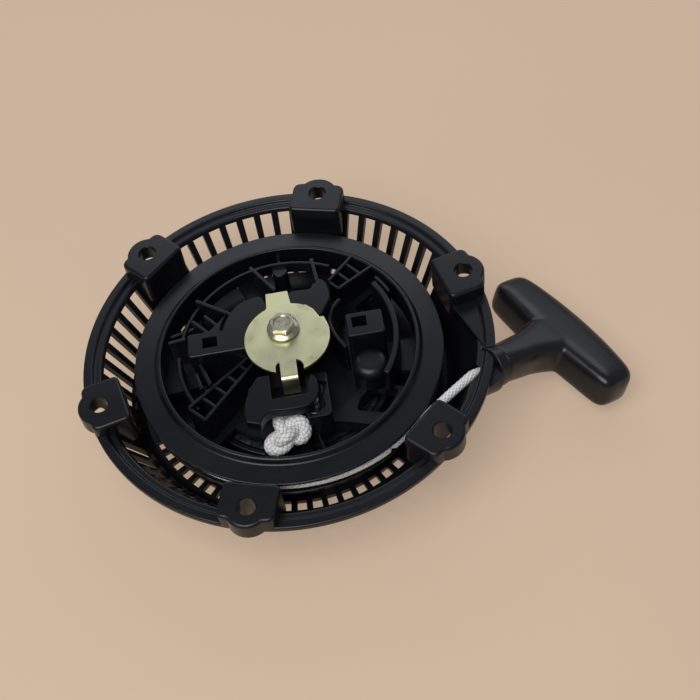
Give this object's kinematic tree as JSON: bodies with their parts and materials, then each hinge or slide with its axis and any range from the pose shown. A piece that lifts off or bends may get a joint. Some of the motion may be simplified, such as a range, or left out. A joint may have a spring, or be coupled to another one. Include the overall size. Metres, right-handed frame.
{
  "type": "recoil starter",
  "caption": "Pull-cord recoil starter for a small engine: a vented housing with mounting lugs, a rope reel with a pawl, a return spring and a T-shaped pull handle.",
  "frame": {"origin": "centre of the raised disc on the outer face, which the starter rests on", "axes": "+Z along the reel's axis from the resting face towards the engine, +X the way the rope and handle are pulled"},
  "size_m": [0.2312, 0.2138, 0.0578],
  "materials": {
    "moulded_black": "satin moulded black plastic, a little worn and dusty",
    "gloss_black": "semi-gloss moulded black plastic",
    "rope": "white braided rope",
    "zinc_plate": "yellow zinc plated sheet steel",
    "bright_steel": "bright zinc plated steel",
    "spring_steel": "blued spring steel"
  },
  "bodies": {
    "housing": {"housing": "moulded_black", "rope_outlet_collar": "moulded_black", "rope_eyelet": "bright_steel", "post_insert": "bright_steel", "centre_bolt": "bright_steel", "recoil_spring": "spring_steel", "spring_cover": "spring_steel", "thrust_washer": "bright_steel", "rope_run": "rope"},
    "reel": {"reel": "moulded_black", "rope_winding": "rope", "rope_knot": "rope", "pawl_pin": "bright_steel", "pawl_spring": "spring_steel"},
    "pawl": {"pawl": "moulded_black"},
    "ratchet_guide": {"ratchet_guide": "zinc_plate", "friction_spring": "spring_steel"},
    "handle": {"handle_grip": "gloss_black", "handle_washer": "bright_steel", "handle_knot": "rope"}
  },
  "joints": [
    {"name": "reel_spin", "type": "hinge", "parent": "housing", "child": "reel", "pos_m": [0, 0, 0.03], "axis": [0, 0, 1], "range_deg": [0, 900], "stiffness_Nm_per_rad": 0.06, "springref_deg": -171.89, "deforming": ["recoil_spring"]},
    {"name": "handle_pull", "type": "slide", "parent": "housing", "child": "handle", "axis": [1, 0, 0], "range_m": [0, 1.16], "deforming": ["rope_run"]},
    {"name": "guide_shift", "type": "hinge", "parent": "reel", "child": "ratchet_guide", "pos_m": [0, 0, 0.05], "axis": [0, 0, -1], "range_deg": [0, 14], "stiffness_Nm_per_rad": 0.02},
    {"name": "pawl_swing", "type": "hinge", "parent": "reel", "child": "pawl", "pos_m": [-0.01081, -0.03989, 0.046], "axis": [0, 0, 1], "range_deg": [0, 14], "deforming": ["pawl_spring"]}
  ],
  "couplings": [
    {"joint": "handle_pull", "follows": "reel_spin", "m_per_rad": 0.0734},
    {"joint": "pawl_swing", "follows": "guide_shift", "ratio": 1}
  ]
}
